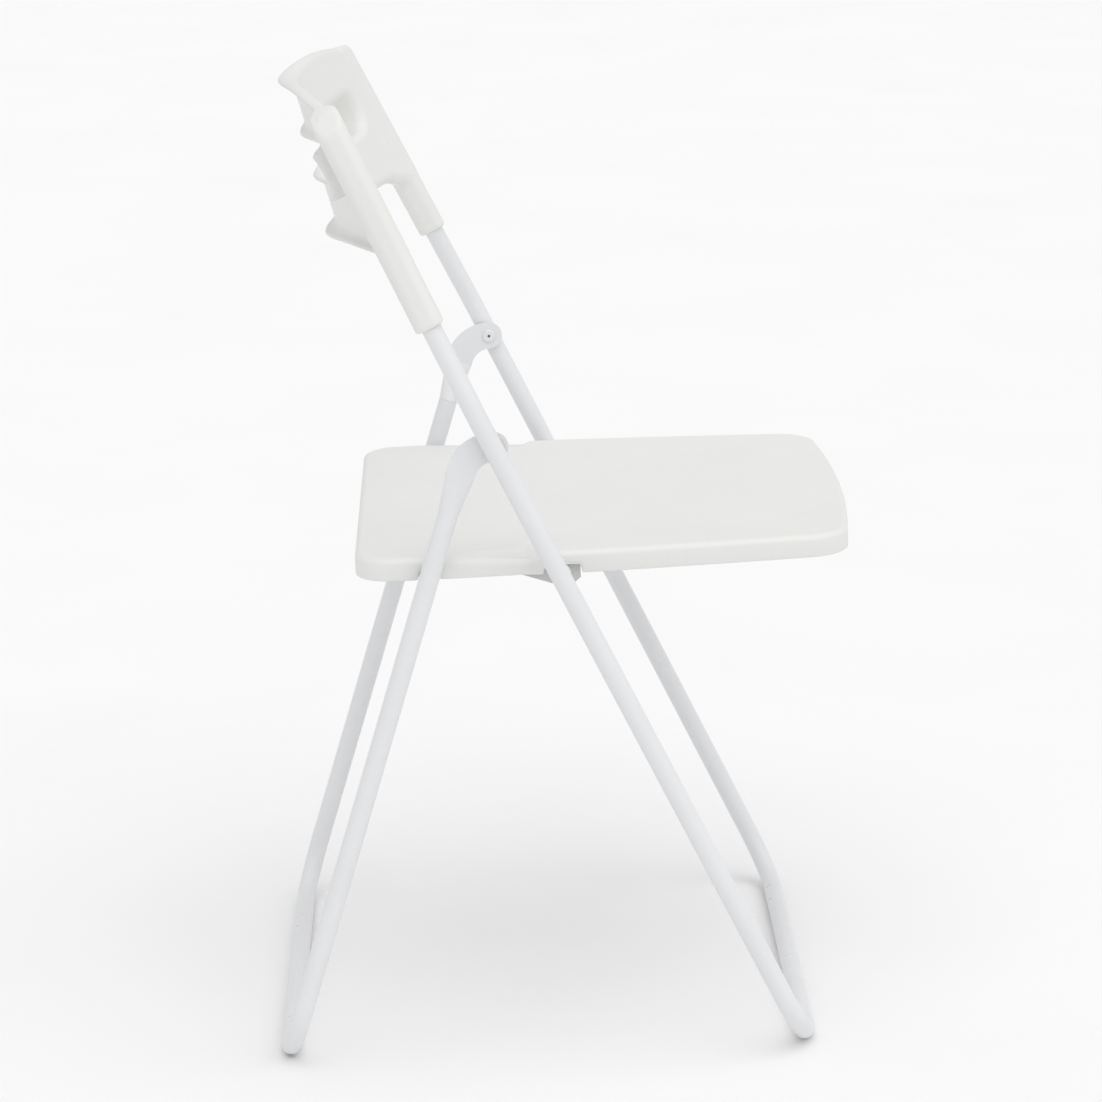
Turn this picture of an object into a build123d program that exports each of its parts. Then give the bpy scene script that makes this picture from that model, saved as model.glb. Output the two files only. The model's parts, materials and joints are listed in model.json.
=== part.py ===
from build123d import *
from math import asin, cos, degrees, radians, sin, sqrt, tan
import os

# Folding chair: two bent steel tube frames that cross at a pivot above the seat, a moulded
# seat hung between them, and a moulded backrest pushed over the tops of the front frame.
# Millimetres. +Z is up, the sitter faces -Y, X runs across the chair. The origin is on the
# floor, in the middle of the chair's width and depth.

# Tubes
TUBE_D = 16.0
TUBE_R = TUBE_D / 2
TUBE_WALL = 1.2
BORE_R = TUBE_R - TUBE_WALL

# Front frame: floor bar, two raked legs that carry on upwards as back posts
FOOT_Y = 210.0              # half the distance between the two floor bars
FRONT_RAKE = 64.34          # angle of the front legs from the floor
FRONT_HALF = 215.0          # half the distance between the front legs at the floor
FRONT_SPLAY = 1.2           # the legs spread outwards as they rise
KNEE_S = 588.0              # distance up the leg to the bend where the posts close in
POST_LEAN = 9.2             # the posts lean inwards above that bend
POST_TOP_S = 824.0          # distance up to the open ends of the posts
FOOT_BEND = 45.0
KNEE_BEND = 120.0

# Rear frame: floor bar and two legs whose tops are pressed flat and hooked forwards
REAR_RAKE = 72.5
REAR_HALF = 218.0
REAR_LEAN = 1.07
ROUND_END_S = 470.0         # the tube is round up to here
FLAT_START_S = 504.0        # and flat from here
HOOK_WIDTH = 23.0
HOOK_THICK = 3.0
HOOK_ARC_R = 28.0           # centre line of the forward hook
HOOK_CORNER = 1.4
HOOK_CLEAR = 1.3            # from the hook's flat face to the post, filled by a thin washer

# Pivots, as distances up the front leg
FRAME_PIVOT_S = 558.0
SEAT_PIVOT_S = 438.0
GUIDE_S = 415.0             # distance up the rear leg to the seat guide rivets
RIVET_R = 3.2
RUN_CLEAR = 0.05
SPLAY_GAP = 0.4             # flat rings stand this far off the splayed legs
PRESS_GAP = 0.1             # rivet heads and rings stand this far off the sheet they hold
CUT_PAST = 2.0              # cutting tools run this far past the faces they open
WASHER_R = 9.0
SPACER_R = 6.5
HEAD_R, HEAD_HIGH = 5.6, 1.8
GUIDE_HEAD_R, GUIDE_HEAD_HIGH = 5.0, 1.6
MANDREL_R = 1.3             # the hole that the pulled pin leaves through a rivet
BULB_EXTRA_R = 0.9
BULB_LOW, BULB_HIGH = 2.8, 6.4
RIVET_DEEP = 5.0

# Seat
SEAT_TOP_Z = 420.0
SEAT_TILT = 1.0
SEAT_HEIGHT = 18.0
SEAT_SKIN = 2.8
SEAT_REAR = 144.0
SEAT_FRONT = 257.0
SEAT_HALF = 198.5
SEAT_SIDE_MIDDLE = 197.7    # half width where the sides bulge most
SEAT_SIDE_REAR = 196.0
SEAT_BULGE_Y = -20.0
SEAT_FRONT_HALF = 179.0
SEAT_REAR_CORNER = 30.0
SEAT_FRONT_BOW = 11.0       # how far the front edge bows forwards at the middle
SEAT_FRONT_CORNER = 36.0
SEAT_EDGE_R = 5.0
RIB_XS = (-96, 0, 96)
RIB_YS = (-170, -60, 60)
RIB_THICK = 2.2
RIB_DEPTH = 9.5
LONG_RIB, LONG_RIB_Y = 380.0, -50.0
CROSS_RIB = 330.0
MERGE = 0.5                 # how far joined bodies run into each other
NOTCH = 16.0                # depth and height of the tools that notch the skirt
PIVOT_NOTCH_HALF = 14.5
GUIDE_NOTCH_HALF = 8.0

# Brackets under the seat, in the seat's own (across, back, up) coordinates
BRACKET_OUTER = 190.5
BRACKET_SHEET = 2.5
BRACKET_TOP = -12.6
EAR_FRONT = 14.0            # the ear round the pivot, from its axis
EAR_LOW = 9.5
EAR_SLOPE_BACK = 38.0
FLANGE_INSIDE = 9.0         # how far the flange runs inside the screws
FLANGE_FRONT = 10.0
FLANGE_PAST = 14.0          # how far the flange runs behind the last screw
SCREW_X = 177.0
SCREW_YS = (4.0, 45.0, 86.0)
SCREW_SHANK_R = 1.7
SCREW_SHANK = 8.0
SCREW_HEAD_R, SCREW_HEAD_HIGH = 4.0, 2.0
RECESS_WIDE, RECESS_DEEP = 0.9, 1.2
BOSS_R = 5.0
BOSS_HOLE_R = 1.75
FLANGE_HOLE_R = 2.25

# Backrest, as distances up the post and across it
SLEEVE_END_S = 664.0
SLEEVE_TOP_S = 850.0
SLEEVE_WIDTH = 21.5
SLEEVE_FRONT = 11.3
SLEEVE_REAR = 12.4
SLEEVE_CORNER = 9.0
SLEEVE_END_R = 7.0
SLEEVE_CLEAR = 0.12         # round the post, inside the sleeve
POST_CLEAR = 2.0            # from the post's end to the bottom of the bore
PANEL_TOP_S = 864.0
PANEL_LOW_S = 730.0
SLOT_LOW_S = 782.0
SLOT_TOP_S = 812.0
SLOT_HALF = 146.0
PANEL_DEPTH = 12.0
PANEL_SKIN = 3.6
PANEL_END = -8.0            # the panel's ends stand this far in front of the posts' axes
PANEL_BOW = 27.0            # the middle of the front face, behind the posts, at PANEL_BOW_S
PANEL_BOW_S = 835.0
PANEL_BOW_SLOPE = 0.186
PANEL_LOW_HALF, PANEL_TOP_HALF = 204.0, 185.0
POCKET_LOW_HALF, POCKET_TOP_HALF = 176.0, 152.0
CORNER_DROP = 3.0           # the panel's top corners, below the sleeves' tops
RIM = 3.6
SLAB_PAST = 4.0
FAR = 500.0                 # wider or deeper than anything it cuts


def raked_plane(foot_y, rake, forwards):
    """Plane through a floor bar that holds a frame's legs; its local y runs up the legs."""
    run = cos(radians(rake)) * forwards
    rise = sin(radians(rake))
    return Plane(origin=(0, foot_y, TUBE_R), x_dir=(1, 0, 0), z_dir=(0, -rise, run))


# The origin lies midway between the seat's front edge and the back of the rear floor bar.
SEAT_OVERHANG = SEAT_FRONT * cos(radians(SEAT_TILT)) + SEAT_HEIGHT * sin(radians(SEAT_TILT))
MID_Y = (SEAT_OVERHANG - FOOT_Y - TUBE_R) / 2
FRONT_PLANE = raked_plane(MID_Y - FOOT_Y, FRONT_RAKE, 1)
REAR_PLANE = raked_plane(MID_Y + FOOT_Y, REAR_RAKE, -1)
SEAT_PLANE = Plane(
    origin=(0, MID_Y, SEAT_TOP_Z),
    x_dir=(1, 0, 0),
    z_dir=(0, sin(radians(SEAT_TILT)), cos(radians(SEAT_TILT))),
)


def front_leg_x(s):
    """Half the distance between the front legs at distance s up them."""
    if s <= KNEE_S:
        return FRONT_HALF + s * tan(radians(FRONT_SPLAY))
    knee = FRONT_HALF + KNEE_S * tan(radians(FRONT_SPLAY))
    return knee - (s - KNEE_S) * tan(radians(POST_LEAN))


def rear_leg_x(s):
    return REAR_HALF - s * tan(radians(REAR_LEAN))


def front_point(s):
    """Side view position (y, z) on the front legs' axis."""
    point = FRONT_PLANE.from_local_coords(Vector(0, s, 0))
    return point.Y, point.Z


def rear_point(s):
    point = REAR_PLANE.from_local_coords(Vector(0, s, 0))
    return point.Y, point.Z


FRAME_PIVOT = front_point(FRAME_PIVOT_S)
SEAT_PIVOT = front_point(SEAT_PIVOT_S)
GUIDE_PIVOT = rear_point(GUIDE_S)
POST_INNER = front_leg_x(FRAME_PIVOT_S) - TUBE_R     # inner face of the post at the pivot
LEG_INNER = front_leg_x(SEAT_PIVOT_S) - TUBE_R       # inner face of the leg at the seat pivot
GUIDE_INNER = rear_leg_x(GUIDE_S) - TUBE_R
HOOK_OUTER = POST_INNER - HOOK_CLEAR
HOOK_INNER = HOOK_OUTER - HOOK_THICK


def cross_cylinder(radius, x_low, x_high, centre):
    """Cylinder along X between two x positions, at a side view position (y, z)."""
    length = x_high - x_low
    place = Plane(origin=(x_low, centre[0], centre[1]), x_dir=(0, 1, 0), z_dir=(1, 0, 0))
    return place * Cylinder(radius, length, align=(Align.CENTER, Align.CENTER, Align.MIN))


def mirrored(shape):
    return mirror(shape, about=Plane.YZ)


def both_sides(make):
    """Right and left copies of a piece."""
    right = make()
    return {"right": right, "left": mirrored(right)}


def bent_tube(plane, points, radii):
    """Hollow tube along a polyline in a plane, with a bend of the given radius at each corner."""
    path = plane * FilletPolyline(*points, radius=radii)
    start = Plane(origin=path @ 0, z_dir=path % 0)
    outer = sweep(start * Circle(TUBE_R), path=path)
    inner = sweep(start * Circle(BORE_R), path=path)
    return outer - inner


def front_frame():
    knee = front_leg_x(KNEE_S)
    top = front_leg_x(POST_TOP_S)
    points = [
        (-top, POST_TOP_S),
        (-knee, KNEE_S),
        (-FRONT_HALF, 0),
        (FRONT_HALF, 0),
        (knee, KNEE_S),
        (top, POST_TOP_S),
    ]
    tube = bent_tube(FRONT_PLANE, points, [KNEE_BEND, FOOT_BEND, FOOT_BEND, KNEE_BEND])
    for inner, centre in ((POST_INNER, FRAME_PIVOT), (LEG_INNER, SEAT_PIVOT)):
        hole = cross_cylinder(RIVET_R, inner - CUT_PAST, inner + TUBE_R, centre)
        tube -= hole
        tube -= mirrored(hole)
    return tube


def hook_profile():
    """Side view of a flattened leg end: a strip up the leg that bends forwards to the pivot."""
    strip_mid = (FLAT_START_S + hook_start()) / 2
    strip = Pos(0, strip_mid) * Rectangle(HOOK_WIDTH, hook_start() - FLAT_START_S)
    centre = Pos(HOOK_ARC_R, hook_start())
    outer = HOOK_ARC_R + HOOK_WIDTH / 2
    inner = HOOK_ARC_R - HOOK_WIDTH / 2
    turn = hook_turn()
    ring = centre * (Circle(outer) - Circle(inner))
    wedge = centre * Polygon(
        (0, 0),
        (-2 * outer, 0),
        (-2 * outer, 2 * outer),
        (-2 * outer * cos(radians(turn)), 2 * outer * sin(radians(turn))),
        align=None,
    )
    eye = Pos(hook_offset(), hook_along()) * Circle(HOOK_WIDTH / 2)
    return strip + (ring & wedge) + eye


def hook_along():
    """Distance up the rear leg that is level with the frame pivot."""
    return REAR_PLANE.to_local_coords(Vector(0, *FRAME_PIVOT)).Y


def hook_offset():
    """How far the frame pivot stands in front of the rear leg's axis."""
    return abs(REAR_PLANE.to_local_coords(Vector(0, *FRAME_PIVOT)).Z)


def hook_turn():
    return degrees(asin(sqrt(1 - (1 - hook_offset() / HOOK_ARC_R) ** 2)))


def hook_start():
    return hook_along() - HOOK_ARC_R * sin(radians(hook_turn()))


def rear_leg_end():
    """Flattened end of the right leg, from the round tube to the pivot eye."""
    run = cos(radians(REAR_RAKE))
    rise = sin(radians(REAR_RAKE))
    side = Plane(
        origin=(HOOK_OUTER, MID_Y + FOOT_Y, TUBE_R), x_dir=(0, -rise, -run), z_dir=(-1, 0, 0)
    )
    plate = extrude(side * hook_profile(), HOOK_THICK)
    round_y, round_z = rear_point(ROUND_END_S)
    flat_y, flat_z = rear_point(FLAT_START_S)
    low_at = (rear_leg_x(ROUND_END_S), round_y, round_z)
    high_at = (HOOK_INNER + HOOK_THICK / 2, flat_y, flat_z)
    low = Plane(origin=low_at, x_dir=(1, 0, 0), z_dir=(0, -run, rise))
    high = Plane(origin=high_at, x_dir=(1, 0, 0), z_dir=(0, -run, rise))
    flat = RectangleRounded(HOOK_THICK, HOOK_WIDTH, HOOK_CORNER)
    end = loft([low * Circle(TUBE_R), high * flat]) + plate
    inner, outer = HOOK_INNER - CUT_PAST, HOOK_OUTER + CUT_PAST
    return end - cross_cylinder(RIVET_R + RUN_CLEAR, inner, outer, FRAME_PIVOT)


def rear_frame():
    top = rear_leg_x(ROUND_END_S)
    points = [(-top, ROUND_END_S), (-REAR_HALF, 0), (REAR_HALF, 0), (top, ROUND_END_S)]
    tube = bent_tube(REAR_PLANE, points, [FOOT_BEND, FOOT_BEND])
    guide = cross_cylinder(RIVET_R, GUIDE_INNER - CUT_PAST, GUIDE_INNER + TUBE_R, GUIDE_PIVOT)
    end = rear_leg_end()
    return (tube - guide - mirrored(guide)) + end + mirrored(end)


def blind_rivet(head_face, wall_face, centre, head_r=HEAD_R, head_high=HEAD_HIGH):
    """Blind rivet on the right side: domed head towards the middle, bulb inside the tube."""
    head = cross_cylinder(head_r, head_face - head_high, head_face, centre)
    head = fillet(head.edges().filter_by(GeomType.CIRCLE).sort_by(Axis.X)[0], head_high * 0.7)
    body = cross_cylinder(RIVET_R, head_face, wall_face + RIVET_DEEP, centre)
    bulb = cross_cylinder(RIVET_R + BULB_EXTRA_R, wall_face + BULB_LOW, wall_face + BULB_HIGH, centre)
    hole = cross_cylinder(MANDREL_R, head_face - head_high - 1, head_face + 3, centre)
    return head + body + bulb - hole


def ring(outer_r, inner_r, x_low, x_high, centre):
    return cross_cylinder(outer_r, x_low, x_high, centre) - cross_cylinder(
        inner_r, x_low - 1, x_high + 1, centre
    )


def seat_outline(inset=0.0):
    """Plan of the seat, with local y running towards the back."""
    side_x = SEAT_SIDE_REAR - inset
    middle_x = SEAT_SIDE_MIDDLE - inset
    front_x = SEAT_FRONT_HALF - inset
    back_y = SEAT_REAR - inset
    corner_y = inset - (SEAT_FRONT - SEAT_FRONT_BOW)
    rear = Line((-side_x, back_y), (side_x, back_y))
    right = ThreePointArc((side_x, back_y), (middle_x, SEAT_BULGE_Y), (front_x, corner_y))
    front = ThreePointArc((front_x, corner_y), (0, inset - SEAT_FRONT), (-front_x, corner_y))
    left = ThreePointArc((-front_x, corner_y), (-middle_x, SEAT_BULGE_Y), (-side_x, back_y))
    plan = make_face([rear, right, front, left])
    plan = fillet(plan.vertices().sort_by(Axis.Y)[:2], SEAT_FRONT_CORNER - inset)
    return fillet(plan.vertices().sort_by(Axis.Y)[-2:], SEAT_REAR_CORNER - inset)


def seat_local(pivot):
    """A side view position (y, z) in the seat's own (back, up) coordinates."""
    point = SEAT_PLANE.to_local_coords(Vector(0, pivot[0], pivot[1]))
    return point.Y, point.Z


def screw_places():
    return [(side * SCREW_X, y) for side in (1, -1) for y in SCREW_YS]


def seat_shell():
    plan = seat_outline()
    shell = extrude(plan, -SEAT_HEIGHT)
    shell = fillet(shell.faces().sort_by(Axis.Z)[-1].edges(), SEAT_EDGE_R)
    shell -= Pos(0, 0, -SEAT_SKIN) * extrude(seat_outline(SEAT_SKIN), -SEAT_HEIGHT)
    rib_middle = MERGE - SEAT_SKIN - RIB_DEPTH / 2
    for x in RIB_XS:
        shell += Pos(x, LONG_RIB_Y, rib_middle) * Box(RIB_THICK, LONG_RIB, RIB_DEPTH)
    for y in RIB_YS:
        shell += Pos(0, y, rib_middle) * Box(CROSS_RIB, RIB_THICK, RIB_DEPTH)
    boss_depth = MERGE - BRACKET_TOP - SEAT_SKIN
    for x, y in screw_places():
        shell += Pos(x, y, BRACKET_TOP + boss_depth / 2) * Cylinder(BOSS_R, boss_depth)
        shell -= Pos(x, y, BRACKET_TOP + SCREW_SHANK / 2) * Cylinder(BOSS_HOLE_R, SCREW_SHANK)
    for pivot, half_gap in ((SEAT_PIVOT, PIVOT_NOTCH_HALF), (GUIDE_PIVOT, GUIDE_NOTCH_HALF)):
        back = seat_local(pivot)[0]
        tool = Box(NOTCH, 2 * half_gap, NOTCH)
        shell -= Pos(SEAT_HALF, back, -SEAT_HEIGHT) * tool
        shell -= Pos(-SEAT_HALF, back, -SEAT_HEIGHT) * tool
    return SEAT_PLANE.location * shell


def seat_bracket():
    """Right bracket: a flange screwed under the seat and a web that drops to the pivot eye."""
    pivot_y, pivot_z = seat_local(SEAT_PIVOT)
    low = pivot_z - EAR_LOW
    back = SCREW_YS[-1] + FLANGE_PAST
    outline = Polyline(
        (pivot_y - EAR_FRONT, BRACKET_TOP),
        (pivot_y - EAR_FRONT, low + 4),
        (pivot_y - 9, low),
        (pivot_y + 9, low),
        (pivot_y + EAR_SLOPE_BACK, 1 - SEAT_HEIGHT),
        (back, 1 - SEAT_HEIGHT),
        (back, BRACKET_TOP),
        close=True,
    )
    side = Plane(origin=(BRACKET_OUTER - BRACKET_SHEET, 0, 0), x_dir=(0, 1, 0), z_dir=(1, 0, 0))
    bracket = extrude(side * make_face(outline), BRACKET_SHEET)
    front = pivot_y + FLANGE_FRONT
    width = BRACKET_OUTER - SCREW_X + FLANGE_INSIDE
    flange_at = (BRACKET_OUTER - width / 2, (back + front) / 2, BRACKET_TOP - BRACKET_SHEET / 2)
    bracket += Pos(*flange_at) * Box(width, back - front, BRACKET_SHEET)
    for y in SCREW_YS:
        bracket -= Pos(SCREW_X, y, BRACKET_TOP) * Cylinder(FLANGE_HOLE_R, 4 * BRACKET_SHEET)
    inner, outer = BRACKET_OUTER - BRACKET_SHEET - CUT_PAST, BRACKET_OUTER + CUT_PAST
    hole = cross_cylinder(RIVET_R + RUN_CLEAR, inner, outer, SEAT_PIVOT)
    return SEAT_PLANE.location * bracket - hole


def pan_screw(head_r, head_high, shank_r, shank_long):
    """Screw standing on its head: the head below z = 0, the shank above it."""
    head = Pos(0, 0, -head_high / 2) * Cylinder(head_r, head_high)
    head = fillet(head.edges().sort_by(Axis.Z)[0], head_high * 0.6)
    slot = Box(head_r, RECESS_WIDE, RECESS_DEEP) + Box(RECESS_WIDE, head_r, RECESS_DEEP)
    recess = Pos(0, 0, MERGE - head_high) * slot
    shank = Cylinder(shank_r, shank_long + MERGE)
    return head - recess + Pos(0, 0, (shank_long - MERGE) / 2) * shank


def bracket_screws():
    under = BRACKET_TOP - BRACKET_SHEET - PRESS_GAP / 2
    screw = pan_screw(SCREW_HEAD_R, SCREW_HEAD_HIGH, SCREW_SHANK_R, SCREW_SHANK)
    screws = [Pos(x, y, under) * screw for x, y in screw_places()]
    return SEAT_PLANE.location * Compound(children=screws)


def panel_front(s):
    """How far the middle of the panel's front face lies behind the posts."""
    return PANEL_BOW + (PANEL_BOW_S - s) * PANEL_BOW_SLOPE


def plan_band(s, inner, outer):
    """Curved strip in plan at height s, between two offsets behind the panel's front face."""
    reach = front_leg_x(s)
    middle = panel_front(s)
    near_end, far_end = PANEL_END + inner, PANEL_END + outer
    near = ThreePointArc((-reach, near_end), (0, middle + inner), (reach, near_end))
    far = ThreePointArc((reach, far_end), (0, middle + outer), (-reach, far_end))
    side_a = Line((reach, near_end), (reach, far_end))
    side_b = Line((-reach, far_end), (-reach, near_end))
    place = Plane(origin=(0, s, 0), x_dir=(1, 0, 0), z_dir=(0, 1, 0))
    return place * make_face([near, side_a, far, side_b])


def curved_slab(inner, outer):
    """Solid between two offsets behind the panel's front face, a little taller than the panel."""
    ends = (PANEL_LOW_S - SLAB_PAST, PANEL_TOP_S + SLAB_PAST)
    return loft([plan_band(s, inner, outer) for s in ends], ruled=True)


def front_view_cut(face):
    """Runs an outline drawn on the post plane right through the panel's depth."""
    return extrude(Pos(0, 0, -FAR / 2) * face, FAR)


def panel_outline(margin, half_low, half_top):
    """Front outline of the panel, drawn in by a margin at its top and bottom edges."""
    low = PANEL_LOW_S + margin
    top_end = SLEEVE_TOP_S - CORNER_DROP - margin
    top = ThreePointArc((half_top, top_end), (0, PANEL_TOP_S - margin), (-half_top, top_end))
    return make_face(
        [
            Line((-half_low, low), (half_low, low)),
            Line((half_low, low), (half_top, top_end)),
            top,
            Line((-half_top, top_end), (-half_low, low)),
        ]
    )


def outline_between(outline, low, high):
    """The part of a front outline between two heights."""
    return outline & (Pos(0, (low + high) / 2) * Rectangle(FAR, high - low))


def sleeve():
    """Right sleeve: an upright socket, thicker behind the post than in front of it."""
    sections = []
    depth = SLEEVE_FRONT + SLEEVE_REAR
    for s in (SLEEVE_END_S, SLEEVE_TOP_S):
        place = Plane(
            origin=(front_leg_x(s), s, (SLEEVE_FRONT - SLEEVE_REAR) / 2),
            x_dir=(1, 0, 0),
            z_dir=(0, 1, 0),
        )
        sections.append(place * RectangleRounded(SLEEVE_WIDTH, depth, SLEEVE_CORNER))
    body = loft(sections, ruled=True)
    return fillet(body.faces().sort_by(Axis.Y)[-1].edges(), SLEEVE_END_R)


def sleeve_bore():
    start = SLEEVE_END_S - CUT_PAST
    place = Plane(
        origin=(front_leg_x(start), start, 0),
        z_dir=(-sin(radians(POST_LEAN)), cos(radians(POST_LEAN)), 0),
    )
    length = (POST_TOP_S + POST_CLEAR - start) / cos(radians(POST_LEAN))
    low_end = (Align.CENTER, Align.CENTER, Align.MIN)
    return place * Cylinder(TUBE_R + SLEEVE_CLEAR, length, align=low_end)


def backrest():
    """Two curved slats with a grip slot between them, in one moulding with two sleeves."""
    outline = panel_outline(0, PANEL_LOW_HALF, PANEL_TOP_HALF)
    panel = curved_slab(0, PANEL_DEPTH) & front_view_cut(outline)
    pocket = curved_slab(PANEL_SKIN, 5 * PANEL_DEPTH)
    hollow = panel_outline(RIM, POCKET_LOW_HALF, POCKET_TOP_HALF)
    upper = outline_between(hollow, SLOT_TOP_S + RIM, PANEL_TOP_S)
    lower = outline_between(hollow, PANEL_LOW_S, SLOT_LOW_S - RIM)
    panel -= pocket & front_view_cut(upper)
    panel -= pocket & front_view_cut(lower)
    slot_mid = (SLOT_LOW_S + SLOT_TOP_S) / 2
    slot_high = SLOT_TOP_S - SLOT_LOW_S
    panel -= front_view_cut(Pos(0, slot_mid) * SlotOverall(2 * SLOT_HALF, slot_high))
    right = sleeve()
    whole = panel + right + mirrored(right)
    bore = sleeve_bore()
    whole = whole - bore - mirrored(bore)
    return FRONT_PLANE.location * whole


NODES = {
    "front_frame_tube": front_frame(),
    "rear_frame_tube": rear_frame(),
    "seat_shell": seat_shell(),
    "backrest": backrest(),
    "seat_bracket_screws": bracket_screws(),
}
PAIRS = {
    "frame_pivot_rivet": lambda: blind_rivet(HOOK_INNER - PRESS_GAP, POST_INNER, FRAME_PIVOT),
    "frame_pivot_washer": lambda: ring(
        WASHER_R, RIVET_R + RUN_CLEAR, HOOK_OUTER + PRESS_GAP, POST_INNER - SPLAY_GAP, FRAME_PIVOT
    ),
    "seat_pivot_rivet": lambda: blind_rivet(
        BRACKET_OUTER - BRACKET_SHEET - PRESS_GAP, LEG_INNER, SEAT_PIVOT
    ),
    "seat_pivot_spacer": lambda: ring(
        SPACER_R, RIVET_R + RUN_CLEAR, BRACKET_OUTER + PRESS_GAP, LEG_INNER - SPLAY_GAP, SEAT_PIVOT
    ),
    "seat_guide_rivet": lambda: blind_rivet(
        GUIDE_INNER - PRESS_GAP, GUIDE_INNER, GUIDE_PIVOT, GUIDE_HEAD_R, GUIDE_HEAD_HIGH
    ),
    "seat_bracket": seat_bracket,
}
for name, make in PAIRS.items():
    for side, shape in both_sides(make).items():
        NODES[name + "_" + side] = shape

os.makedirs("parts", exist_ok=True)
for name, shape in NODES.items():
    export_step(shape, "parts/" + name + ".step")
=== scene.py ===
import json
from math import cos, radians, sin, tan
import bpy
import numpy as np
from mathutils import Matrix, Vector


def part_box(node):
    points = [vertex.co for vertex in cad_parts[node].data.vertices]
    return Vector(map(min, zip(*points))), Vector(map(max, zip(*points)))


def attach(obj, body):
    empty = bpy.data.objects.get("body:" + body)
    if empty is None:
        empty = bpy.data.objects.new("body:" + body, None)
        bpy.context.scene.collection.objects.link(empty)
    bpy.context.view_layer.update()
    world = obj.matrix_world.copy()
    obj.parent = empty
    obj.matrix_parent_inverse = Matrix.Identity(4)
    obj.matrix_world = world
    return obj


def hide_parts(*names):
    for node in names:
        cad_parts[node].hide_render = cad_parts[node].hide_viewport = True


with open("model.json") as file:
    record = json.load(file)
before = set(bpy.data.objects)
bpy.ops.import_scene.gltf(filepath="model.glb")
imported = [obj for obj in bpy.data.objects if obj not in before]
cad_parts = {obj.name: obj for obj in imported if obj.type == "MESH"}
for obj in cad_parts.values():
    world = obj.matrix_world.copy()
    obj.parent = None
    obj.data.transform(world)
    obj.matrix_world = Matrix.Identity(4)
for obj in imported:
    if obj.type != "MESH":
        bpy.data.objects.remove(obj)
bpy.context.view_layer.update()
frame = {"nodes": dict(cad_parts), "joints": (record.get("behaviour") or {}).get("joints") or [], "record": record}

# Looks of a white folding chair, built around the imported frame. Objects are in metres. The
# shape formulas below work in millimetres and are scaled once, where a mesh is made.

MM = 0.001
RECORD = frame["record"]

# Scene
FLOOR_HALF = 16.0
CAMERA_AT = Vector((-3.2593, 0.0623, 1.2185))
CAMERA_DOWN = radians(14.593)
CAMERA_TURN = radians(-1.008)       # away from looking straight along +X
CAMERA_ROLL = radians(1.355)
LENS = 131.57
SENSOR = 36.0
WORLD_LIGHT = 0.72
KEY_LIGHT = 1.15

# Colours, as two tones that each surface drifts between
PAINT_TONES = (0.785, 0.790, 0.805), (0.765, 0.770, 0.787)
# The bracket's tones are a darker grey than the frame paint: painted shade, for the shadow the bracket sits in
# under the seat.
BRACKET_SHADE_TONES = (0.60, 0.60, 0.61), (0.55, 0.55, 0.56)
# Colour mixed in patches over the lowest few millimetres of the frame, darker near the floor.
NEAR_FLOOR_COLOUR = (0.34, 0.31, 0.30)
SHELL_TONES = (0.800, 0.800, 0.785), (0.785, 0.785, 0.768)
RUB_COLOUR = (0.765, 0.763, 0.745)
ZINC_TONES = (0.66, 0.66, 0.67), (0.52, 0.53, 0.55)
NYLON_TONES = (0.76, 0.76, 0.73), (0.70, 0.70, 0.66)
FLOOR_TONES = (0.93, 0.93, 0.93), (0.915, 0.915, 0.915)

# Mesh tools
LEAST_SLOPE = 0.2                   # flatter places are not stepped along
LONGEST_STEP = 0.5

# Posts, in millimetres: s runs up the post, n behind it, and x across the chair
PIVOT_S = 558.0                     # the frame pivot's distance up the front leg
FOOT_HALF = 215.0
KNEE_S = 588.0
LEG_SPLAY = 1.2
POST_LEAN = 9.2
BORE_TOP_S = 826.0
BORE_R = 8.15
BORE_BLEND = 0.8

# Backrest sleeves
SLEEVE_LOW_S = 664.0
SLEEVE_HALF = 10.7
SLEEVE_DEEP = 11.8
SLEEVE_BACK = 0.5                   # the sleeve's middle, behind the post's axis
SLEEVE_ROUND = 8.6
SLEEVE_END_BLEND = 2.4
CORNER_R = 27.0                     # the upper corners, in the front view
CORNER_OUT = 5.0                    # how far outside the sleeve the corner's side runs
CORNER_BLEND = 3.0

# Backrest slats
TOP_S = 866.0
TOP_HALF = 185.0
TOP_FALL = 16.0                     # how much lower the top edge is at TOP_HALF
CORNER_FALL = 5.0                   # and a further fall, close to the corners
TOP_BLEND = 2.0
LOW_S = 735.0
LOW_ARCH = 7.5                      # how much lower the bottom edge is at LOW_ARCH_X
LOW_ARCH_X = 150.0
LOW_END_FALL = 8.0
LOW_END_X = (165.0, 198.0)
SLOT_S = 800.5
SLOT_FALL = 7.0
SLOT_HALF = 160.0
SLOT_R = 16.0
MARGIN_BLEND = 4.0
PANEL_BOW = 27.0                    # the middle of the front face, behind the posts
PANEL_BOW_S = 835.0
PANEL_BOW_SLOPE = 0.186
PANEL_END = -8.0
PANEL_NOSE = 80.0                   # the slats are curved most over this middle width
PANEL_SLOPE = 0.17                  # how steeply the face turns away from the middle
PANEL_SLOPE_X = (0.0, 90.0)
SKIN = 3.8
EDGE_ROUND = 12.0                   # how softly the slats' edges curl backwards
RIM_DEPTH = 15.5
SLOT_DEPTH = 11.0
SLOT_END_DEPTH = 16.0
SLOT_END_X = (110.0, 150.0)
RIM_TO_SLOT = (-7.0, 7.0)
FADE_X = (0.0, 100.0)               # away from the middle, the curled edges get smaller
FADE_DEPTH = 4.5
FADE_ROUND = 4.0
FLANGE_BLEND = 3.4
BLEND = 7.0
GRID = 1.45
GRID_HALF = 232.0
GRID_PAST = 4.0
GRID_DEPTH = (-16.0, 78.0)

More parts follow.
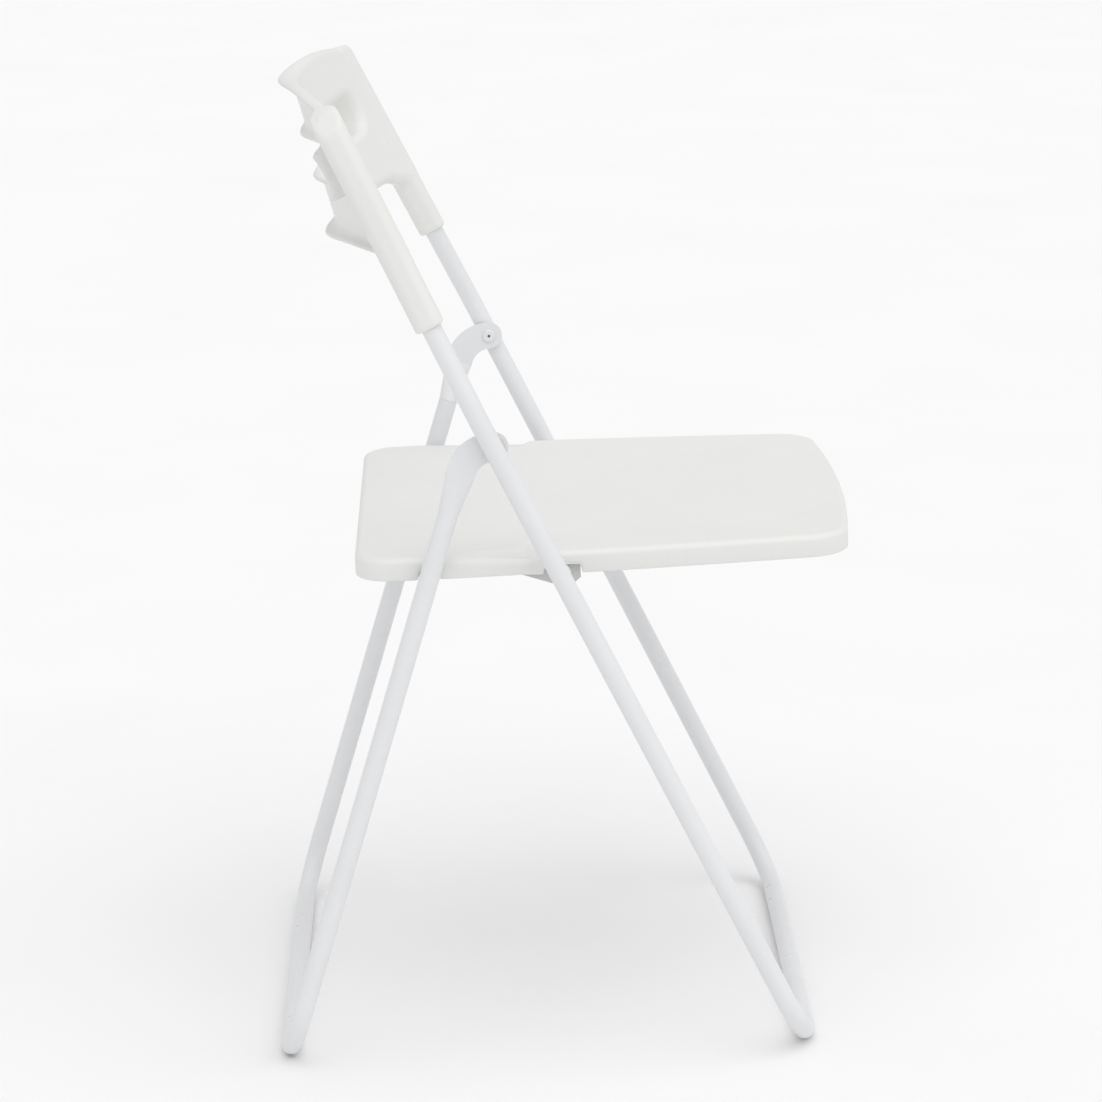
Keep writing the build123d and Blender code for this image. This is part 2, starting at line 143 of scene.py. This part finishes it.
# Seat, with y towards the back and z up from its top
SEAT_TILT = radians(1.0)
SEAT_REAR = 144.0
SEAT_FRONT = 257.0
SEAT_HALF = 197.7
SEAT_BULGE_Y = -20.0                # where the sides stand furthest apart
SEAT_SIDE_REAR = 196.0
SEAT_SIDE_FRONT = 179.0
SEAT_BOW = 11.0
SEAT_HIGH = 18.0
SEAT_SKIN = 2.8
REAR_CORNER = 30.0
FRONT_CORNER = 36.0
SIDE_POINTS = 200
CORNER_POINTS = 24
CORNER_CUT = 1.02                   # how far past a corner's arc the straight runs stop
SEAT_POINTS = 1000
OUTWARD_REACH = (2, 4, 6)           # neighbours that the outward direction is taken from
EDGE_R = 5.0
EDGE_TURNS = 9
DISH = 1.4
TOP_INSET = 14.0                    # rings follow the outline this far in, then close up
TOP_RING_STEP = 1.3
TOP_FIRST_RING = 6.2
TOP_RINGS = 36
TOP_CROWDING = 1.6                  # above 1, the closing rings crowd towards the edge

# Seat sides, which dip where they pass the legs
SIDE_X = 180.0                      # everything further out than this is a side
PINCH_BACK = 118.0                  # the dip starts this far behind the seat pivot
PINCH_GROWTH = 90.0
PINCH_END = (14.0, 30.0)
DIP = 5.2
DIP_WIDE = 8.0
DIP_WIDER = 17.0
NOTCH_HIGH = 8.0
NOTCH_SOFT = 1.5
PIVOT_NOTCH = 14.5
GUIDE_NOTCH = 8.0

# Seat skirt, from the underside of the top to the outside: inset, height, and lean at the dip
UNDER_SHARES = (0.0, 0.25, 0.5, 0.75)
UNDER_INSET = 12.0
UNDER_PROFILE = ((12.0, 0.0), (5.2, 0.0), (4.0, 1.2))
SKIRT_PROFILE = (
    (3.4, 1.0, 3.0),
    (2.6, 0.15, 3.0),
    (1.3, 0.0, 3.0),
    (0.4, 0.6, 3.0),
    (0.1, 1.6, 2.7),
)

# Ribs and screw bosses under the seat
SINK = 0.4                          # how far they run up into the top
RIB_XS = (-96.0, 0.0, 96.0)
RIB_YS = (-170.0, -60.0, 60.0)
RIB_HALF = 1.1
RIB_LOW = -11.8
RIB_DRAFT = 0.3
RIB_TIP = 0.4
LONG_RIB = (-240.0, 140.0)
CROSS_RIB = 165.0
BOSS_X = 177.0
BOSS_YS = (4.0, 45.0, 86.0)
BOSS_LOW = -12.6
BOSS_POINTS = 32
BOSS_PROFILE = (                    # radius and height, down the outside and up the pilot hole
    (5.5, -SEAT_SKIN + 0.4),
    (5.0, -SEAT_SKIN - 1.4),
    (5.0, BOSS_LOW + 0.4),
    (4.6, BOSS_LOW),
    (2.3, BOSS_LOW),
    (2.0, BOSS_LOW + 0.3),
    (2.0, -SEAT_SKIN - 1.0),
)


# ---------------------------------------------------------------- scene
def add_camera():
    data = bpy.data.cameras.new("camera")
    data.sensor_width = SENSOR
    data.lens = LENS
    data.clip_end = 60.0
    camera = bpy.data.objects.new("camera", data)
    bpy.context.scene.collection.objects.link(camera)
    level = cos(CAMERA_DOWN)
    look = Vector((level * cos(CAMERA_TURN), level * sin(CAMERA_TURN), -sin(CAMERA_DOWN)))
    side = look.cross(Vector((0, 0, 1))).normalized()
    up = side.cross(look) * cos(CAMERA_ROLL) + side * sin(CAMERA_ROLL)
    turn = Matrix((look.cross(up), up, -look)).transposed()
    camera.matrix_world = Matrix.Translation(CAMERA_AT) @ turn.to_4x4()
    bpy.context.scene.camera = camera


def add_soft_light(name, towards, power, width):
    """Even light from one side of the studio, as soft as its apparent width is large."""
    data = bpy.data.lights.new(name, "SUN")
    data.energy = power
    data.angle = width
    light = bpy.data.objects.new(name, data)
    bpy.context.scene.collection.objects.link(light)
    light.rotation_euler = Vector(towards).to_track_quat("-Z", "Y").to_euler()


def add_world():
    world = bpy.data.worlds.new("studio")
    world.use_nodes = True
    background = world.node_tree.nodes["Background"]
    background.inputs["Color"].default_value = (1.0, 1.0, 1.0, 1.0)
    background.inputs["Strength"].default_value = WORLD_LIGHT
    bpy.context.scene.world = world


def add_floor():
    h = FLOOR_HALF
    data = bpy.data.meshes.new("floor")
    data.from_pydata([(-h, -h, 0), (h, -h, 0), (h, h, 0), (-h, h, 0)], [], [(0, 1, 2, 3)])
    floor = bpy.data.objects.new("floor", data)
    bpy.context.scene.collection.objects.link(floor)
    data.materials.append(floor_paint())


# ---------------------------------------------------------------- materials
def new_material(name):
    material = bpy.data.materials.new(name)
    material.use_nodes = True
    return material, material.node_tree, material.node_tree.nodes["Principled BSDF"]


def put(tree, socket, value):
    """Links an output to an input, or gives the input a value."""
    if isinstance(value, bpy.types.NodeSocket):
        tree.links.new(value, socket)
    else:
        socket.default_value = value


def add_node(tree, kind, **values):
    """Adds a node and fills its inputs; an underscore stands for a space in an input's name."""
    node = tree.nodes.new("ShaderNode" + kind)
    for key, value in values.items():
        put(tree, node.inputs[key.replace("_", " ")], value)
    return node


def own_place(tree):
    """The point on the piece, in metres, fixed to the piece as it moves."""
    return add_node(tree, "TexCoord").outputs["Object"]


def noise(tree, place, scale, detail=3.0, stretch=None):
    if stretch:
        place = add_node(tree, "Mapping", Vector=place, Scale=stretch).outputs["Vector"]
    node = add_node(tree, "TexNoise", Vector=place, Scale=scale, Detail=detail)
    return node.outputs["Fac"]


def spread(tree, value, low, high, to_low, to_high):
    """Maps a value from one range onto another, and keeps it there."""
    ends = {"From_Min": low, "From_Max": high, "To_Min": to_low, "To_Max": to_high}
    return add_node(tree, "MapRange", Value=value, **ends).outputs["Result"]


def multiply(tree, first, second):
    node = tree.nodes.new("ShaderNodeMath")
    node.operation = "MULTIPLY"
    put(tree, node.inputs[0], first)
    put(tree, node.inputs[1], second)
    return node.outputs[0]


def colour_mix(tree, share, first, second):
    """Mixes two colours, given as values or as outputs."""
    node = tree.nodes.new("ShaderNodeMix")
    node.data_type = "RGBA"
    tree.links.new(share, node.inputs["Factor"])
    for socket, value in ((node.inputs[6], first), (node.inputs[7], second)):
        is_output = isinstance(value, bpy.types.NodeSocket)
        put(tree, socket, value if is_output else (*value, 1.0))
    return node.outputs[2]


def relief(tree, height, depth, below=None):
    """Bump of a given depth in metres, laid over another bump if one is given."""
    node = add_node(tree, "Bump", Height=height, Distance=depth, Strength=1.0)
    if below:
        tree.links.new(below, node.inputs["Normal"])
    return node.outputs["Normal"]


def near_floor_darkening(tree, place):
    """Patchy mask over the lowest few millimetres of the bars, where they meet the floor, to darken them there."""
    split = add_node(tree, "SeparateXYZ", Vector=place)
    near_floor = spread(tree, split.outputs["Z"], 0.0005, 0.0050, 1.0, 0.0)
    patches = spread(tree, noise(tree, place, 160.0, 5.0), 0.44, 0.60, 0.0, 1.0)
    return multiply(tree, near_floor, patches)


def powder_coat(name, tones, darkened_near_floor):
    """Sprayed paint on steel: orange peel, faint specks, uneven gloss."""
    light, dark = tones
    material, tree, shader = new_material(name)
    place = own_place(tree)
    clouds = noise(tree, place, 14.0, 4.0)
    specks = spread(tree, noise(tree, place, 1900.0, 1.0), 0.70, 0.78, 0.0, 0.35)
    colour = colour_mix(tree, spread(tree, clouds, 0.35, 0.65, 0.0, 1.0), light, dark)
    colour = colour_mix(tree, specks, colour, [0.86 * c for c in dark])
    gloss = spread(tree, noise(tree, place, 55.0, 4.0), 0.3, 0.7, 0.27, 0.40)
    if darkened_near_floor:
        # Darker in patches over the lowest few millimetres, near the floor.
        near_floor_dark = near_floor_darkening(tree, place)
        colour = colour_mix(tree, near_floor_dark, colour, NEAR_FLOOR_COLOUR)
    tree.links.new(colour, shader.inputs["Base Color"])
    tree.links.new(gloss, shader.inputs["Roughness"])
    peel = relief(tree, noise(tree, place, 420.0, 1.5), 0.00006)
    grit = relief(tree, noise(tree, place, 2400.0, 2.0), 0.000012, peel)
    tree.links.new(grit, shader.inputs["Normal"])
    shader.inputs["Specular IOR Level"].default_value = 0.45
    return material


def shell_plastic():
    """Warm white polypropylene: a fine moulded grain, faint rubbing and uneven gloss."""
    material, tree, shader = new_material("shell_plastic")
    place = own_place(tree)
    clouds = spread(tree, noise(tree, place, 9.0, 5.0), 0.35, 0.65, 0.0, 1.0)
    colour = colour_mix(tree, clouds, *SHELL_TONES)
    rubs = spread(tree, noise(tree, place, 26.0, 6.0, (1.0, 14.0, 1.0)), 0.60, 0.72, 0.0, 0.4)
    colour = colour_mix(tree, rubs, colour, RUB_COLOUR)
    tree.links.new(colour, shader.inputs["Base Color"])
    gloss = spread(tree, noise(tree, place, 38.0, 6.0), 0.3, 0.7, 0.40, 0.54)
    tree.links.new(gloss, shader.inputs["Roughness"])
    cells = add_node(tree, "TexVoronoi", Vector=place, Scale=1150.0)
    grain = relief(tree, cells.outputs["Distance"], 0.000028)
    flow = relief(tree, noise(tree, place, 60.0, 2.0), 0.00012, grain)
    tree.links.new(flow, shader.inputs["Normal"])
    shader.inputs["Specular IOR Level"].default_value = 0.4
    shader.inputs["Subsurface Weight"].default_value = 0.10
    shader.inputs["Subsurface Radius"].default_value = (1.0, 0.9, 0.8)
    shader.inputs["Subsurface Scale"].default_value = 0.0025
    return material


def zinc_steel():
    """Zinc plated steel with a faint crystal pattern and turning marks."""
    material, tree, shader = new_material("zinc_steel")
    place = own_place(tree)
    cells = add_node(tree, "TexVoronoi", Vector=place, Scale=900.0)
    colour = colour_mix(tree, cells.outputs["Distance"], *ZINC_TONES)
    tree.links.new(colour, shader.inputs["Base Color"])
    shader.inputs["Metallic"].default_value = 1.0
    gloss = spread(tree, noise(tree, place, 700.0, 4.0), 0.3, 0.7, 0.26, 0.46)
    tree.links.new(gloss, shader.inputs["Roughness"])
    marks = relief(tree, noise(tree, place, 1500.0, 2.0, (1.0, 6.0, 1.0)), 0.00002)
    tree.links.new(marks, shader.inputs["Normal"])
    return material


def natural_nylon():
    """Milky white moulded nylon with a fine grain."""
    material, tree, shader = new_material("natural_nylon")
    place = own_place(tree)
    clouds = spread(tree, noise(tree, place, 300.0, 4.0), 0.35, 0.65, 0.0, 1.0)
    colour = colour_mix(tree, clouds, *NYLON_TONES)
    tree.links.new(colour, shader.inputs["Base Color"])
    gloss = spread(tree, noise(tree, place, 900.0, 3.0), 0.3, 0.7, 0.42, 0.60)
    tree.links.new(gloss, shader.inputs["Roughness"])
    grain = relief(tree, noise(tree, place, 2200.0, 2.0), 0.00002)
    tree.links.new(grain, shader.inputs["Normal"])
    return material


def floor_paint():
    """Plain pale floor with a barely uneven matt surface."""
    material, tree, shader = new_material("floor_paint")
    place = own_place(tree)
    tone = spread(tree, noise(tree, place, 3.0, 3.0), 0.3, 0.7, 0.0, 1.0)
    colour = colour_mix(tree, tone, *FLOOR_TONES)
    tree.links.new(colour, shader.inputs["Base Color"])
    shader.inputs["Roughness"].default_value = 0.8
    shader.inputs["Specular IOR Level"].default_value = 0.1
    return material


def make_materials():
    return {
        "frame_paint": powder_coat("frame_paint", PAINT_TONES, True),
        # The bracket's darker grey is painted shade for the shadow under the seat.
        "bracket_paint": powder_coat("bracket_paint", BRACKET_SHADE_TONES, False),
        "shell_plastic": shell_plastic(),
        "zinc_steel": zinc_steel(),
        "natural_nylon": natural_nylon(),
    }


def dress_frame(materials):
    """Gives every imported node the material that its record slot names."""
    for part in RECORD["subparts"]:
        mesh = frame["nodes"][part["node"]].data
        mesh.materials.clear()
        mesh.materials.append(materials[part["material_slot"]])


# ---------------------------------------------------------------- mesh tools
def mesh_object(name, points, faces, material):
    data = bpy.data.meshes.new(name)
    data.from_pydata(points, [], faces)
    data.validate()
    data.polygons.foreach_set("use_smooth", [True] * len(data.polygons))
    data.materials.append(material)
    piece = bpy.data.objects.new(name, data)
    bpy.context.scene.collection.objects.link(piece)
    return piece


def crossings(value, axis):
    """Grid edges that the surface cuts: their low ends, where it cuts, and if the low end is in."""
    count = value.shape[axis]
    low = value.take(np.arange(count - 1), axis)
    high = value.take(np.arange(1, count), axis)
    edges = np.argwhere((low < 0) != (high < 0))
    a = low[tuple(edges.T)]
    b = high[tuple(edges.T)]
    return edges, a / (a - b), a < 0


def surface_net(value):
    """Points and four-sided faces of the surface where a grid of values changes sign."""
    around = ((0, 0), (1, 0), (1, 1), (0, 1))
    cells, places, quads = [], [], []
    for axis in range(3):
        first, second = (axis + 1) % 3, (axis + 2) % 3
        edges, share, low_inside = crossings(value, axis)
        place = edges.astype(float)
        place[:, axis] += share
        corners = []
        for a, b in around:
            cell = edges.copy()
            cell[:, first] -= a
            cell[:, second] -= b
            corners.append(np.ravel_multi_index(cell.T, value.shape))
            places.append(place)
        cells += corners
        quad = np.stack(corners, 1)
        quad[~low_inside] = quad[~low_inside][:, ::-1]
        quads.append(quad)
    used, index = np.unique(np.concatenate(cells), return_inverse=True)
    index = index.ravel()
    count = np.bincount(index)
    stacked = np.concatenate(places)
    points = np.stack([np.bincount(index, stacked[:, k]) / count for k in range(3)], 1)
    return points, np.searchsorted(used, np.concatenate(quads))


def settle(field, points, rounds=3, reach=0.05):
    """Moves points onto the surface where the field is zero, along its steepest slope."""
    for _ in range(rounds):
        value = field(*points.T)
        slope = np.empty_like(points)
        for k in range(3):
            ahead = points.copy()
            ahead[:, k] += reach
            slope[:, k] = (field(*ahead.T) - value) / reach
        size = np.maximum((slope**2).sum(1), LEAST_SLOPE)
        step = np.clip(value / size, -LONGEST_STEP, LONGEST_STEP)
        points = points - step[:, None] * slope
    return points


def moulding(field, low, high, step):
    """Mesh of the shape where field(x, s, n) is below zero, in millimetres."""
    axes = [np.arange(a, b, step) for a, b in zip(low, high)]
    grid = np.meshgrid(*axes, indexing="ij", sparse=True)
    points, faces = surface_net(field(*grid))
    return settle(field, points * step + np.array(low)), faces


# ---------------------------------------------------------------- backrest
def joint_place(name):
    """Where a joint's axis crosses the chair's middle plane, in metres."""
    for joint in frame["joints"]:
        if joint["name"] == name:
            return Vector(joint["pos_m"])
    raise KeyError(name)


FRAME_PIVOT = joint_place("rear_frame_fold")
SEAT_PIVOT = joint_place("seat_fold")
UP_POST = (FRAME_PIVOT - SEAT_PIVOT).normalized()
BEHIND_POST = Vector((0.0, UP_POST.z, -UP_POST.y))


def post_points(points):
    """Turns (x, up the post, behind the post) in millimetres into places in metres."""
    origin = np.array([0.0, FRAME_PIVOT.y, FRAME_PIVOT.z])
    up, behind = np.array(UP_POST), np.array(BEHIND_POST)
    x, s, n = points.T * MM
    return np.outer(x, (1, 0, 0)) + np.outer(s - PIVOT_S * MM, up) + np.outer(n, behind) + origin


def post_x(s):
    """Half the distance between the posts at s up them."""
    knee = FOOT_HALF + KNEE_S * tan(radians(LEG_SPLAY))
    return knee - (s - KNEE_S) * tan(radians(POST_LEAN))


def soft_min(a, b, k):
    """The lesser of two fields, with the crease between them filled over k millimetres."""
    h = np.maximum(k - abs(a - b), 0.0) / k
    return np.minimum(a, b) - h * h * k / 4


def soft_max(a, b, k):
    return -soft_min(-a, -b, k)


def ease(value, low, high):
    """0 below low, 1 above high, and smooth between."""
    t = np.clip((value - low) / (high - low), 0.0, 1.0)
    return t * t * (3 - 2 * t)


def panel_face(x, s):
    """How far the slats' front face lies behind the posts: deepest in the middle."""
    middle = PANEL_BOW + (PANEL_BOW_S - s) * PANEL_BOW_SLOPE
    full = np.sqrt(post_x(s) ** 2 + PANEL_NOSE**2) - PANEL_NOSE
    across = np.minimum((np.sqrt(x**2 + PANEL_NOSE**2) - PANEL_NOSE) / full, 1.0)
    return PANEL_END + (middle - PANEL_END) * (1 - across)


def top_edge(x):
    """How far up the post the top edge is: it falls away towards the corners."""
    across = (x / TOP_HALF) ** 2
    return TOP_S - TOP_FALL * across - CORNER_FALL * across**3


def slat_margins(x, s):
    """Distances inside the slats' top, bottom and slot edges, in the front view."""
    top = top_edge(x) - s
    arch = LOW_ARCH * (x / LOW_ARCH_X) ** 2
    low = s - LOW_S + arch + LOW_END_FALL * ease(abs(x), *LOW_END_X)
    rise = s - (SLOT_S - SLOT_FALL * (x / SLOT_HALF) ** 2)
    run = np.maximum(abs(x) - (SLOT_HALF - SLOT_R), 0.0)
    slot = np.sqrt(run**2 + rise**2) - SLOT_R
    return top, low, slot


def rounded_meet(a, b, radius):
    """Field of the corner where two edges meet, from the distances inside each."""
    a, b = radius - a, radius - b
    curve = np.sqrt(np.maximum(a, 0) ** 2 + np.maximum(b, 0) ** 2)
    return curve + np.minimum(np.maximum(a, b), 0) - radius


def curled_edge(inside, behind, depth, edge_round):
    """Sheet that runs flat, curls backwards at its edge and ends at a given depth."""
    sheet = abs(rounded_meet(inside, behind, edge_round) + SKIN / 2) - SKIN / 2
    return soft_max(sheet, behind - depth, FLANGE_BLEND)


def slats(x, s, n):
    """The two curved slats, joined beyond the ends of the slot."""
    face = panel_face(x, s)
    slope = PANEL_SLOPE * ease(abs(x), *PANEL_SLOPE_X)
    behind = (n - face) / np.sqrt(1 + slope**2)
    top, low, slot = slat_margins(x, s)
    margin = soft_min(soft_min(top, slot, MARGIN_BLEND), low, MARGIN_BLEND)
    near_slot = ease(np.minimum(top, low) - slot, *RIM_TO_SLOT)
    slot_depth = SLOT_DEPTH + SLOT_END_DEPTH * ease(abs(x), *SLOT_END_X)
    fade = ease(abs(x), *FADE_X)
    depth = RIM_DEPTH + (slot_depth - RIM_DEPTH) * near_slot - FADE_DEPTH * fade
    body = curled_edge(margin, behind, depth, EDGE_ROUND - FADE_ROUND * fade)
    return np.maximum(body, abs(x) - post_x(s))


def sleeve_field(x, s, n):
    """Sockets over the posts, rounded over at the top."""
    across = SLEEVE_HALF - abs(abs(x) - post_x(s))
    through = SLEEVE_DEEP - abs(n - SLEEVE_BACK)
    body = rounded_meet(across, through, SLEEVE_ROUND)
    beside = post_x(s) + SLEEVE_HALF + CORNER_OUT - abs(x)
    corner = rounded_meet(beside, top_edge(x) - s, CORNER_R)
    body = soft_max(body, corner, CORNER_BLEND)
    return soft_max(body, SLEEVE_LOW_S - s, SLEEVE_END_BLEND)


def bore_field(x, s, n):
    lean = cos(radians(POST_LEAN))
    across = (abs(x) - post_x(s)) * lean
    return np.maximum(np.sqrt(across**2 + n**2) - BORE_R, s - BORE_TOP_S)


def backrest_field(x, s, n):
    body = soft_min(slats(x, s, n), sleeve_field(x, s, n), BLEND)
    body = soft_max(body, s - top_edge(x), TOP_BLEND)
    return soft_max(body, -bore_field(x, s, n), BORE_BLEND)


def add_backrest(material):
    low = (-GRID_HALF, SLEEVE_LOW_S - GRID_PAST, GRID_DEPTH[0])
    high = (GRID_HALF, TOP_S + GRID_PAST, GRID_DEPTH[1])
    points, faces = moulding(backrest_field, low, high, GRID)
    piece = mesh_object("backrest_moulding", post_points(points).tolist(), faces.tolist(), material)
    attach(piece, "front_frame")
    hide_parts("backrest")


# ---------------------------------------------------------------- seat
SEAT_LOW, SEAT_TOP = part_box("seat_shell")
SEAT_ORIGIN_Y = SEAT_LOW.y + MM * (SEAT_FRONT * cos(SEAT_TILT) + SEAT_HIGH * sin(SEAT_TILT))
SEAT_ORIGIN_Z = SEAT_LOW.z + MM * (SEAT_REAR * sin(SEAT_TILT) + SEAT_HIGH * cos(SEAT_TILT))


def seat_places(points):
    """Turns (x, y, z) on the seat in millimetres into places in metres."""
    x, y, z = points.T * MM
    along = SEAT_ORIGIN_Y + y * cos(SEAT_TILT) + z * sin(SEAT_TILT)
    high = SEAT_ORIGIN_Z - y * sin(SEAT_TILT) + z * cos(SEAT_TILT)
    return np.stack([x, along, high], 1)


def seat_y(place):
    """Distance back from the seat's reference point to a pivot, in millimetres."""
    back, up = place.y - SEAT_ORIGIN_Y, place.z - SEAT_ORIGIN_Z
    return (back * cos(SEAT_TILT) - up * sin(SEAT_TILT)) / MM


def arc(a, b, c):
    """Points on a shallow arc through three points, from a to c."""
    t = np.linspace(0.0, 1.0, SIDE_POINTS)[:, None]
    a, b, c = (np.array(p, float) for p in (a, b, c))
    peak = 2 * b - (a + c) / 2
    return (1 - t) ** 2 * a + 2 * t * (1 - t) * peak + t**2 * c


def rounded_corner(before, after, radius):
    """Joins two runs of points with an arc, and returns them cut back to it."""
    corner = before[-1]
    come = (before[-1] - before[-2]) / np.linalg.norm(before[-1] - before[-2])
    go = (after[1] - after[0]) / np.linalg.norm(after[1] - after[0])
    turn = np.arccos(np.clip(come @ go, -1, 1))
    reach = radius * np.tan(turn / 2)
    handle = radius * np.tan(turn / 4) * 4 / 3
    p0, p3 = corner - come * reach, corner + go * reach
    p1, p2 = p0 + come * handle, p3 - go * handle
    t = np.linspace(0.0, 1.0, CORNER_POINTS)[:, None]
    curve = (1 - t) ** 3 * p0 + 3 * t * (1 - t) ** 2 * p1 + 3 * t**2 * (1 - t) * p2 + t**3 * p3
    keep_before = np.linalg.norm(before - corner, axis=1) > reach * CORNER_CUT
    keep_after = np.linalg.norm(after - corner, axis=1) > reach * CORNER_CUT
    return before[keep_before], curve, after[keep_after]


def seat_plan():
    """The seat's outline as evenly spaced points, and its outward directions."""
    back_y, corner_y = SEAT_REAR, SEAT_BOW - SEAT_FRONT
    rear_right, rear_left = (SEAT_SIDE_REAR, back_y), (-SEAT_SIDE_REAR, back_y)
    front_right, front_left = (SEAT_SIDE_FRONT, corner_y), (-SEAT_SIDE_FRONT, corner_y)
    front = arc(front_left, (0, -SEAT_FRONT), front_right)
    right = arc(front_right, (SEAT_HALF, SEAT_BULGE_Y), rear_right)
    rear = arc(rear_right, (0, back_y), rear_left)
    left = arc(rear_left, (-SEAT_HALF, SEAT_BULGE_Y), front_left)
    front, corner_1, right = rounded_corner(front, right, FRONT_CORNER)
    right, corner_2, rear = rounded_corner(right, rear, REAR_CORNER)
    rear, corner_3, left = rounded_corner(rear, left, REAR_CORNER)
    left, corner_4, front = rounded_corner(left, front, FRONT_CORNER)
    loop = np.concatenate([front, corner_1, right, corner_2, rear, corner_3, left, corner_4])
    closed = np.vstack([loop, loop[:1]])
    run = np.concatenate([[0], np.cumsum(np.linalg.norm(np.diff(closed, axis=0), axis=1))])
    even = np.linspace(0, run[-1], SEAT_POINTS, endpoint=False)
    plan = np.stack([np.interp(even, run, closed[:, k]) for k in (0, 1)], 1)
    along = sum(np.roll(plan, -k, axis=0) - np.roll(plan, k, axis=0) for k in OUTWARD_REACH)
    along /= np.linalg.norm(along, axis=1)[:, None]
    return plan, np.stack([along[:, 1], -along[:, 0]], 1)


def pinch(plan):
    """0 to 1 along the sides: the dip grows from the rear legs to the front legs."""
    y = plan[:, 1] - seat_y(SEAT_PIVOT)
    growth = np.clip((PINCH_BACK - y) / PINCH_GROWTH, 0.0, 1.0)
    return growth * ease(y, *PINCH_END) * (abs(plan[:, 0]) > SIDE_X)


def notch(plan, place, half):
    """Height cut out of the skirt's lower edge round a pivot."""
    y = abs(plan[:, 1] - seat_y(place))
    inside = 1 - ease(y, half - NOTCH_SOFT, half + NOTCH_SOFT)
    return NOTCH_HIGH * inside * (abs(plan[:, 0]) > SIDE_X)


def dip_fall(dip, inset):
    """How far the top drops at a distance in from the edge, where the side is pinched."""
    wide = DIP_WIDE + DIP_WIDER * dip
    share = np.clip(1 - inset / wide, 0.0, 1.0)
    return DIP * dip * share


def ring(plan, out, inset, high):
    """The outline drawn in by an inset and set at a height; either may vary along it."""
    level = np.zeros(len(plan))
    spot = plan - out * (inset + level)[:, None]
    return np.column_stack([spot, high + level])


def skirt_rings(plan, out, dip):
    """Rings from the middle of the top's underside, down the skirt and round its lower edge."""
    guide_low, guide_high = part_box("seat_guide_rivet_left")
    cut = notch(plan, SEAT_PIVOT, PIVOT_NOTCH)
    cut = cut + notch(plan, (guide_low + guide_high) / 2, GUIDE_NOTCH)
    floor = -SEAT_HIGH + cut
    rings = []
    for share in UNDER_SHARES:
        spot = share * (plan - out * UNDER_INSET)
        high = np.full(len(plan), -SEAT_SKIN - DISH * (1 - share**2))
        rings.append(np.column_stack([spot, high]))
    for inset, fall in UNDER_PROFILE:
        rings.append(ring(plan, out, inset, -SEAT_SKIN - fall))
    for inset, rise, lean in SKIRT_PROFILE:
        rings.append(ring(plan, out, inset + lean * dip, floor + rise))
    return rings


def top_rings(plan, out, dip):
    """Rings over the rounded top edge and on to the middle of the top."""
    rings = []
    for turn in np.linspace(0, 90, EDGE_TURNS):
        fall = EDGE_R * (1 - sin(radians(turn)))
        inset = EDGE_R * (1 - cos(radians(turn)))
        rings.append(ring(plan, out, inset, -fall - dip_fall(dip, inset)))
    for inset in np.arange(TOP_FIRST_RING, TOP_INSET, TOP_RING_STEP):
        rings.append(ring(plan, out, inset, -dip_fall(dip, inset)))
    last = plan - out * TOP_INSET
    for share in 1 - np.linspace(0.0, 1.0, TOP_RINGS)[1:] ** TOP_CROWDING:
        from_edge = TOP_INSET + (1 - share) * abs(last[:, 0])
        fall = dip_fall(dip, from_edge) + DISH * (1 - share**2)
        rings.append(np.column_stack([share * last, -fall]))
    return rings


def bridge(rings):
    """Faces between rings of the same number of points."""
    count = len(rings[0])
    here = np.arange(count)
    after = (here + 1) % count
    faces = []
    for k in range(len(rings) - 1):
        a, b = k * count, (k + 1) * count
        faces.append(np.stack([a + here, a + after, b + after, b + here], 1))
    return np.concatenate(faces)


def rib(x_range, y_range):
    """Tapered rib under the seat: its points and faces."""
    (x0, x1), (y0, y1) = x_range, y_range
    levels = (
        (SINK - SEAT_SKIN - DISH, 0.0),
        (RIB_LOW + RIB_TIP, RIB_DRAFT),
        (RIB_LOW, RIB_DRAFT + RIB_TIP),
    )
    rings = []
    for high, inset in levels:
        a, b, c, d = x0 + inset, x1 - inset, y0 + inset, y1 - inset
        rings.append(np.array([(a, c, high), (a, d, high), (b, d, high), (b, c, high)]))
    faces = bridge(rings).tolist() + [[8, 9, 10, 11], [3, 2, 1, 0]]
    return np.concatenate(rings), faces


def boss(x, y):
    """Screw boss under the seat, with its pilot hole: its points and faces."""
    count = BOSS_POINTS
    turn = np.linspace(0, -2 * np.pi, count, endpoint=False)
    rings = [
        np.column_stack([x + r * np.cos(turn), y + r * np.sin(turn), np.full(count, high)])
        for r, high in BOSS_PROFILE
    ]
    last = count * (len(rings) - 1)
    ends = [list(range(count - 1, -1, -1)), list(range(last, last + count))]
    return np.concatenate(rings), bridge(rings).tolist() + ends


def seat_bodies():
    """The seat's shell, its ribs and its screw bosses, each as points and faces."""
    plan, out = seat_plan()
    dip = pinch(plan)
    rings = skirt_rings(plan, out, dip) + top_rings(plan, out, dip)
    bodies = [(np.concatenate(rings), bridge(rings).tolist())]
    for x in RIB_XS:
        bodies.append(rib((x - RIB_HALF, x + RIB_HALF), LONG_RIB))
    for y in RIB_YS:
        bodies.append(rib((-CROSS_RIB, CROSS_RIB), (y - RIB_HALF, y + RIB_HALF)))
    for y in BOSS_YS:
        bodies.append(boss(BOSS_X, y))
        bodies.append(boss(-BOSS_X, y))
    return bodies


def add_seat(material):
    points, faces = [], []
    for body_points, body_faces in seat_bodies():
        faces += [[index + len(points) for index in face] for face in body_faces]
        points += seat_places(body_points).tolist()
    piece = mesh_object("seat_moulding", points, faces, material)
    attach(piece, "seat")
    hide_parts("seat_shell")


add_camera()
add_world()
add_floor()
add_soft_light("overhead", (0.45, 0.25, -1.0), KEY_LIGHT, radians(75.0))
MATERIALS = make_materials()
dress_frame(MATERIALS)
add_backrest(MATERIALS["shell_plastic"])
add_seat(MATERIALS["shell_plastic"])
bpy.context.scene.view_settings.view_transform = "Standard"
